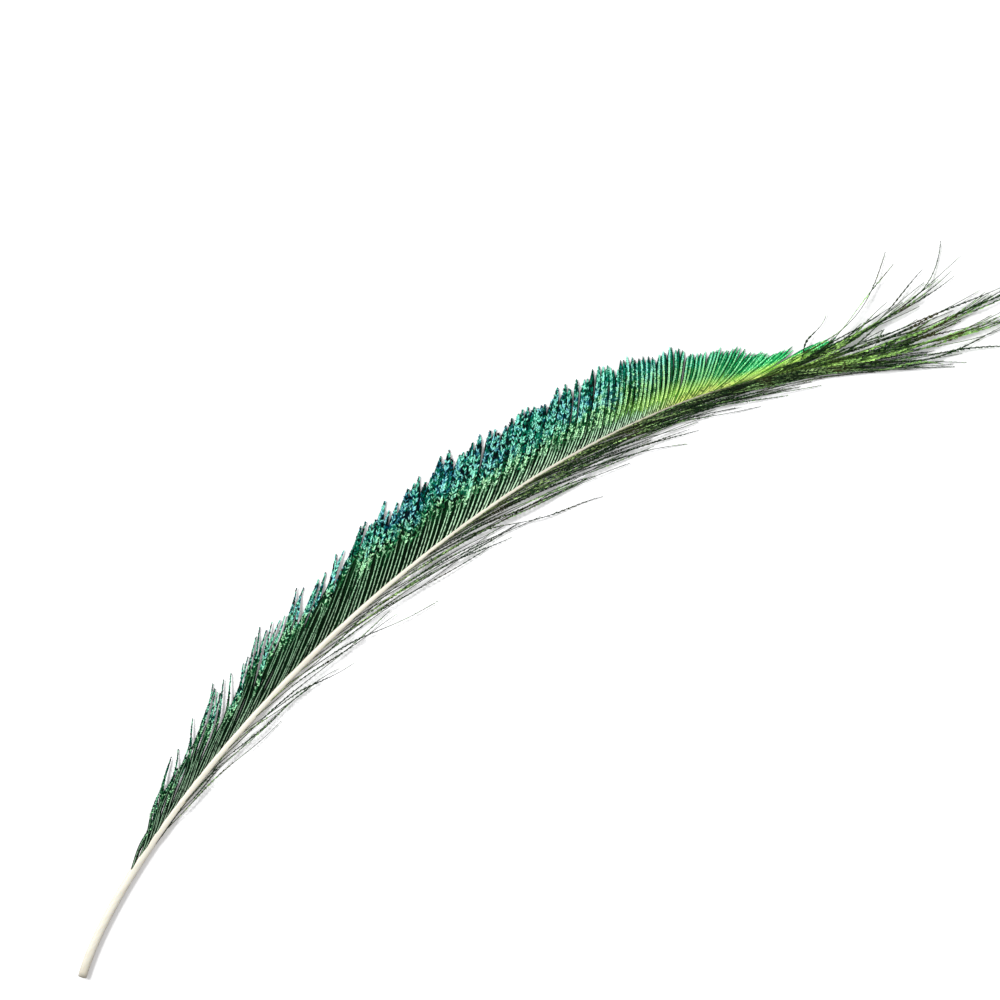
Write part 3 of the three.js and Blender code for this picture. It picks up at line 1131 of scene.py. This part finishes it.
@dataclass
class Shaft:
    """The shaft as a shell: rings along its curve, open at the cut end on a recessed plug of pith."""

    shape: ShaftShape
    steps: int = 170
    around: int = 20
    wall: float = 0.36
    recess: float = 1.6
    roundness: float = 0.8
    pith_point: float = 0.02
    bore_flare: float = 1.03
    rim_inset: float = 0.97
    rim_depth: float = 0.0008
    tip_size: float = 0.1
    end_margin: float = 1e-4

    def surface(self) -> Surface:
        """Carries the section along the curve.

        The section is a rounded box: across is half the width times cos(a) to a power, up is half the height
        times one plus sin(a) to the same power. The rings run from the plug's middle out along the bore,
        round the rim, and down the outside to a point at the tip.

        Returns:
            The shaft's surface.
        """
        share = np.linspace(0, 1, self.steps)
        plug = self.recess / self.shape.line.length
        bore = 1 - 2 * self.wall / self.shape.width(np.zeros(1))[0]
        inner = [self.pith_point, bore, bore, bore * self.bore_flare, self.rim_inset]
        at = np.concatenate([[plug, plug, plug / 2, self.rim_depth, 0.0], share[1:]])
        size = np.concatenate([inner, np.ones(self.steps - 1)])
        size[-1] = self.tip_size
        angle = (np.arange(self.around) + 0.5) / self.around * FULL_TURN
        across = np.sign(np.cos(angle)) * np.abs(np.cos(angle)) ** self.roundness
        up = np.sign(np.sin(angle)) * np.abs(np.sin(angle)) ** self.roundness
        middle = self.shape.line.point(at)
        heading = self.shape.line.heading(np.clip(at, self.end_margin, 1 - self.end_margin))
        half = self.shape.width(at)[:, None] / 2 * size[:, None] * across
        rise = self.shape.height(at)[:, None] / 2 * (1 + size[:, None] * up)
        left = np.stack([-np.sin(heading), np.cos(heading)], -1)
        flat = middle[:, None] + left[:, None] * half[..., None]
        points = np.concatenate([flat, rise[..., None]], -1)
        index = np.arange(len(at) * self.around).reshape(len(at), self.around)
        faces = tube_faces(index)
        return Surface(
            points.reshape(-1, 3),
            faces,
            np.full(len(faces), Look.STALK.value),
            np.repeat(at, self.around),
            np.broadcast_to((1 + up) / 2, index.shape).ravel(),
            np.ones(faces.shape),
        )


BROAD_TABLE = Table(
    (0.1, 0.2, 0.3, 0.4, 0.47, 0.54, 0.6, 0.66, 0.72, 0.78, 0.82, 0.86, 0.89, 0.92),
    {
        "length": (26, 38, 39.5, 37, 33, 30, 28.8, 27.2, 24.8, 21.4, 18.2, 15.8, 17.5, 27),
        "root": (9, 9, 12, 20, 29, 30, 27, 28, 33, 41, 47, 29, 5, 3),
        "tip": (19, 21, 23, 28, 36, 43, 46, 50, 58, 66, 69, 57, 30, 16),
        "gather": (0.4, 0.4, 0.35, 0.25, 0.12, 0.05, 0.02, 0, 0, 0, 0, 0, 0.05, 0.2),
        "pairing": (0.2, 0.2, 0.2, 0.2, 0.2, 0.2, 0.2, 0.2, 0.25, 0.3, 0.25, 0.15, 0.1, 0.1),
        "ply": (0.3, 0.3, 0.3, 0.3, 0.2, 0.2, 0.25, 0.35, 0.6, 0.9, 0.85, 0.6, 0.6, 0.6),
        "pitch": (1.5, 1.7, 2.2, 2.5, 2.2, 1.9, 1.85, 1.5, 1.28, 0.9, 0.72, 0.52, 0.47, 0.5),
        "stalk": (1, 1, 1.05, 0.95, 0.95, 1.02, 1.4, 1.4, 1.15, 1.3, 1.2, 0.95, 0.9, 0.9),
        "contrast": (1, 1, 1, 1, 1, 1, 1, 1, 1.1, 1.1, 0.8, 0.5, 0.5, 0.6),
        "loose": (18, 16, 11, 5, 2, 1.2, 1, 1, 1.4, 2.2, 2, 1.4, 1.5, 3),
        "lines": (0.62, 0.64, 0.68, 0.66, 0.55, 0.45, 0.41, 0.36, 0.3, 0.24, 0.24, 0.3, 0.35, 0.4),
        "disorder": (0.9, 0.9, 1, 1, 1, 1, 1, 0.95, 0.8, 0.55, 0.35, 0.25, 0.3, 0.5),
        "full": (0.95, 1.05, 1.2, 1.4, 1.5, 1.5, 1.45, 1.3, 1.08, 0.78, 0.6, 0.45, 0.4, 0.42),
        # The next column: the width of the dark sheet of painted shade under each barb.
        "shade_bed": (0.8, 0.9, 1.3, 1.6, 1.7, 1.65, 1.6, 1.5, 1.3, 1.15, 1.05, 0.9, 0.75, 0.7),
        # The next column: how far the glint dips between tufts, as painted shade.
        "notch_shade": (1, 1, 1, 1, 1, 1, 1, 0.95, 0.7, 0.45, 0.25, 0.2, 0.25, 0.45),
        "taper": (2, 2, 2.5, 3.5, 6, 9, 9, 9, 9, 9, 9, 9, 8, 6),
        # The next column scales the barbules' painted glints along the shaft.
        "glow": (0.9, 0.9, 0.95, 0.95, 1, 1, 1.2, 1.2, 1.25, 1.32, 1.12, 1.06, 1.02, 0.95),
    },
)
NARROW_TABLE = Table(
    (0.1, 0.3, 0.45, 0.6, 0.85, 1),
    {
        "length": (44, 62, 65, 66, 58, 50),
        "root": (7, 8, 8, 7, 6, 6),
        "tip": (9, 16, 17, 15, 13, 4),
        "gather": (0.7, 0.7, 0.7, 0.7, 0.7, 0.6),
        "pitch": (7, 6.5, 4.0, 2.0, 1.4, 1.5),
        "loose": (4, 4, 3, 2, 2, 3),
        "lines": (0.3, 0.3, 0.25, 0.2, 0.15, 0.15),
        "disorder": 0.8,
        "full": (0.8, 0.9, 1, 1, 1, 1),
        "pairing": 0.3,
        "taper": 3,
    },
)
TASSEL_TABLE = Table(
    (0.92, 0.945, 0.965, 1),
    {
        "length": (40, 60, 60, 58),
        "root": (5, 5, 2, 0),
        "tip": (22, 20, 7, 4),
        "curl": (1, 2, 3, 5),
        "gather": (0.8, 0.8, 0.8, 0.85),
        "pitch": 0.36,
        "loose": (4, 6, 5, 4),
        "lines": (0.4, 0.3, 0.25, 0.25),
        "disorder": 0.8,
        "full": (0.9, 0.95, 1.1, 1.15),
        "pairing": 0.3,
        "taper": 3,
        # The next column scales the strands' painted glints along the shaft.
        "glow": (0.75, 0.7, 1.1, 1.35),
    },
)


@dataclass
class BroadVane:
    """The broad vane, on the outside of the shaft's curve, in sections of neighbouring barbs.

    Near the shaft the barbs are pale beaded lines over a dark sheet of painted shade. Further out their
    barbules widen into tufts, bright with painted glint, that hide them.
    """

    shaft: ShaftShape
    sections: int = 4
    seed: int = 11
    stalks: Stalks = Stalks(0.18, 0.04, tones=(0.85, 1.0))
    # Painted shade: a flat dark sheet under each barb fills the gaps between barbs with shade.
    shade_bed: Stalks = Stalks(
        0.48, 0.62, flatness=0.1, drop=0.22, look=Look.BARBULE, tones=(0, 0.1), band=(0.07, 0.15)
    )
    barbules: Barbules = Barbules(
        Lay(0.55, 0.22, 50, 40, -6, -16, 0.85, 0.1, 0.0),
        Lay(0.98, 0.28, 46, 18, 24, 2, 0.65, 1.1, 0.1),
        pitch=0.172,
        tuft=0.62,
    )

    def build(self, place: Placement) -> list[bpy.types.Object]:
        """Builds the sections, each with about as many barbules as the next."""
        rng = np.random.default_rng(self.seed)
        row = BarbRow(self.shaft, Side.OUTSIDE, BROAD_TABLE, (0.105, 0.925), locks=46, arch=1.5, rest=0.35)
        barbs = row.barbs(rng)
        materials = [VaneFinish().material(), StalkFinish().material()]
        run = np.cumsum(barbs.lengths)
        cuts = np.searchsorted(run, np.linspace(0, run[-1], self.sections + 1)[1:-1])
        pieces = []
        for number, (low, high) in enumerate(zip([0, *cuts], [*cuts, len(run)]), 1):
            part = barbs.part(slice(low, high))
            surface = Surface.joined(
                [layer.surface(part, rng) for layer in (self.stalks, self.shade_bed, self.barbules)]
            )
            pieces.append(make_piece(f"broad_vane_{number}", surface, place, materials))
        log.info("broad vane: %d barbs", len(barbs.at))
        return pieces


@dataclass
class LooseBarbs:
    """A row of long loose barbs with short close barbules, made as one piece."""

    shaft: ShaftShape
    name: str
    seed: int
    stalks: Stalks
    barbules: Barbules
    finish: StrandFinish
    stalk_finish: StalkFinish

    def row(self) -> BarbRow:
        """How the barbs grow."""
        raise NotImplementedError

    def build(self, place: Placement) -> bpy.types.Object:
        """Builds every barb's stalk and its barbules, which are closed spines without a curl."""
        rng = np.random.default_rng(self.seed)
        barbs = self.row().barbs(rng)
        surface = Surface.joined([layer.surface(barbs, rng) for layer in (self.stalks, self.barbules)])
        materials = [self.finish.material(), self.stalk_finish.material()]
        return make_piece(self.name, surface, place, materials)


@dataclass
class NarrowSide(LooseBarbs):
    """The long loose barbs on the inside of the curve."""

    name: str = "narrow_side_barbs"
    seed: int = 23
    stalks: Stalks = Stalks(0.15, 0.08)
    barbules: Barbules = Barbules(
        Lay(0.5, 0.34, 38, 20, 0, 0, 0.6, 0.5, 0.3),
        Lay(0.75, 0.38, 38, 20, 0, 0, 0.6, 0.7, 0.6),
        pitch=0.4,
        tuft=1.5,
        curled=False,
        gather=0.5,
        nip=0.75,
    )
    finish: StrandFinish = StrandFinish("loose_barbules", bright=(130, 172, 108), lime=(170, 196, 124))
    stalk_finish: StalkFinish = StalkFinish(
        "loose_stalks", root=(150, 164, 116), middle=(44, 60, 32), tip=(22, 28, 16), yellow_share=0.0
    )

    def row(self) -> BarbRow:
        """Sparse barbs that part a little and wander."""
        return BarbRow(
            self.shaft, Side.INSIDE, NARROW_TABLE, (0.11, 0.97), locks=14, arch=1.2, rest=0.4, steps=34,
            gathers=0.1, heading_spread=1.4, uneven=0.06, wander=0.25, wander_turns=1.6, levels=0.6,
            twist=1.0, stray=0.06, stray_spread=5,
        )


@dataclass
class Tassel(LooseBarbs):
    """The strands that run on past the shaft's tip."""

    name: str = "tip_tassel"
    seed: int = 31
    stalks: Stalks = Stalks(0.14, 0.08)
    barbules: Barbules = Barbules(
        Lay(0.55, 0.38, 38, 20, 0, 0, 1.1, 1.0, 0.8),
        Lay(0.75, 0.38, 38, 20, 0, 0, 0.9, 0.9, 0.7),
        pitch=0.34,
        tuft=1.7,
        curled=False,
        gather=0.5,
        nip=0.75,
    )
    finish: StrandFinish = StrandFinish()
    stalk_finish: StalkFinish = StalkFinish(
        "strand_stalks", root=(140, 180, 84), middle=(56, 84, 38), tip=(30, 40, 22), yellow_share=0.0
    )

    def row(self) -> BarbRow:
        """Close strands in three bundles, some cut short, with a quarter of them astray and curled."""
        return BarbRow(
            self.shaft, Side.OUTSIDE, TASSEL_TABLE, (0.922, 0.995), locks=3, arch=1.8, rest=0.5, steps=44,
            gathers=0.05, heading_spread=1.0, uneven=0.07, thinning=0.28, wander=0.25, wander_turns=1.3,
            levels=1.0, twist=1.0, stray=0.24, stray_spread=5, stray_curl=9,
        )


@dataclass(frozen=True)
class Lamp:
    """A square soft lamp: how far it stands from the picture's middle, its side in metres, and its watts."""

    offset: tuple[float, float, float]
    size: float
    power: float


@dataclass
class Studio:
    """The camera, the light and the pale floor."""

    pixel: float = 0.3
    frame_pixels: int = 1000
    cut_end_pixel: tuple[float, float] = (83, 976)
    roll: float = 39.0
    lens: float = 85.0
    sensor: float = 36.0
    lamps: tuple[Lamp, ...] = (Lamp((-0.35, 0.75, 0.9), 0.4, 15.5), Lamp((0.6, -0.2, 1.0), 0.8, 3.0))
    sky_strength: float = 0.45
    floor_reach: float = 3.0
    floor_drop: float = 0.00005
    floor_colour: tuple[float, float, float, float] = (0.9, 0.9, 0.91, 1)
    floor_roughness: float = 0.8
    floor_specular: float = 0.2
    floor_glow: float = 0.12

    def centre(self) -> Array:
        """The point of the feather's own plane that lies in the middle of the picture."""
        right = (self.frame_pixels / 2 - self.cut_end_pixel[0]) * self.pixel
        up = (self.cut_end_pixel[1] - self.frame_pixels / 2) * self.pixel
        turn = np.radians(self.roll)
        x = right * np.cos(turn) + up * np.sin(turn)
        y = up * np.cos(turn) - right * np.sin(turn)
        return np.array([x, y, 0.0])

    def build(self, place: Placement) -> None:
        """Sets the camera straight above, the soft lamps, an even sky and the floor."""
        centre = place.metres(self.centre())
        distance = self.frame_pixels * self.pixel * MM * self.lens / self.sensor
        camera = bpy.data.objects.new("camera", bpy.data.cameras.new("camera"))
        camera.data.lens = self.lens
        camera.data.sensor_width = self.sensor
        camera.matrix_world = Matrix.Translation((centre[0], centre[1], distance)) @ Matrix.Rotation(
            -np.radians(self.roll), 4, "Z"
        )
        bpy.context.scene.collection.objects.link(camera)
        bpy.context.scene.camera = camera
        for lamp in self.lamps:
            self.light(centre, lamp)
        self.sky()
        self.floor()
        bpy.context.scene.view_settings.view_transform = "Standard"

    def light(self, centre: Array, lamp: Lamp) -> None:
        """Adds a lamp that faces the picture's middle."""
        light = bpy.data.lights.new("softbox", "AREA")
        light.size = lamp.size
        light.energy = lamp.power
        softbox = bpy.data.objects.new("softbox", light)
        softbox.location = Vector(centre) + Vector(lamp.offset)
        softbox.rotation_euler = Vector(lamp.offset).to_track_quat("Z", "Y").to_euler()
        bpy.context.scene.collection.objects.link(softbox)

    def sky(self) -> None:
        """Lights everything evenly with white."""
        world = bpy.data.worlds.new("studio")
        world.use_nodes = True
        background = world.node_tree.nodes["Background"]
        background.inputs["Color"].default_value = (1, 1, 1, 1)
        background.inputs["Strength"].default_value = self.sky_strength
        bpy.context.scene.world = world

    def floor(self) -> None:
        """Lays a plain pale floor under the feather."""
        reach = self.floor_reach
        mesh = bpy.data.meshes.new("floor")
        corners = [(-reach, -reach, 0), (reach, -reach, 0), (reach, reach, 0), (-reach, reach, 0)]
        mesh.from_pydata(corners, [], [(0, 1, 2, 3)])
        floor = bpy.data.objects.new("floor", mesh)
        floor.location.z = -self.floor_drop
        graph = Graph("floor_paper")
        graph.finish(self.floor_colour, self.floor_roughness, self.floor_specular)
        graph.put(graph.shader.inputs["Emission Color"], (1, 1, 1, 1))
        graph.put(graph.shader.inputs["Emission Strength"], self.floor_glow)
        mesh.materials.append(graph.material)
        bpy.context.scene.collection.objects.link(floor)


def main() -> None:
    """Builds the feather piece by piece, then the studio around it."""
    logging.basicConfig(level=logging.INFO, format="%(name)s: %(message)s")
    place = Placement()
    log.info("the cut end lies at %s mm", np.round(place.shift, 2).tolist())
    shape = ShaftShape()
    horn = ShaftFinish().material()
    pieces = [make_piece("shaft", Shaft(shape).surface(), place, [horn, horn])]
    pieces += BroadVane(shape).build(place)
    pieces += [NarrowSide(shape).build(place), Tassel(shape).build(place)]
    log.info("%d pieces in all", len(pieces))
    Studio().build(place)


if __name__ == "__main__":
    main()
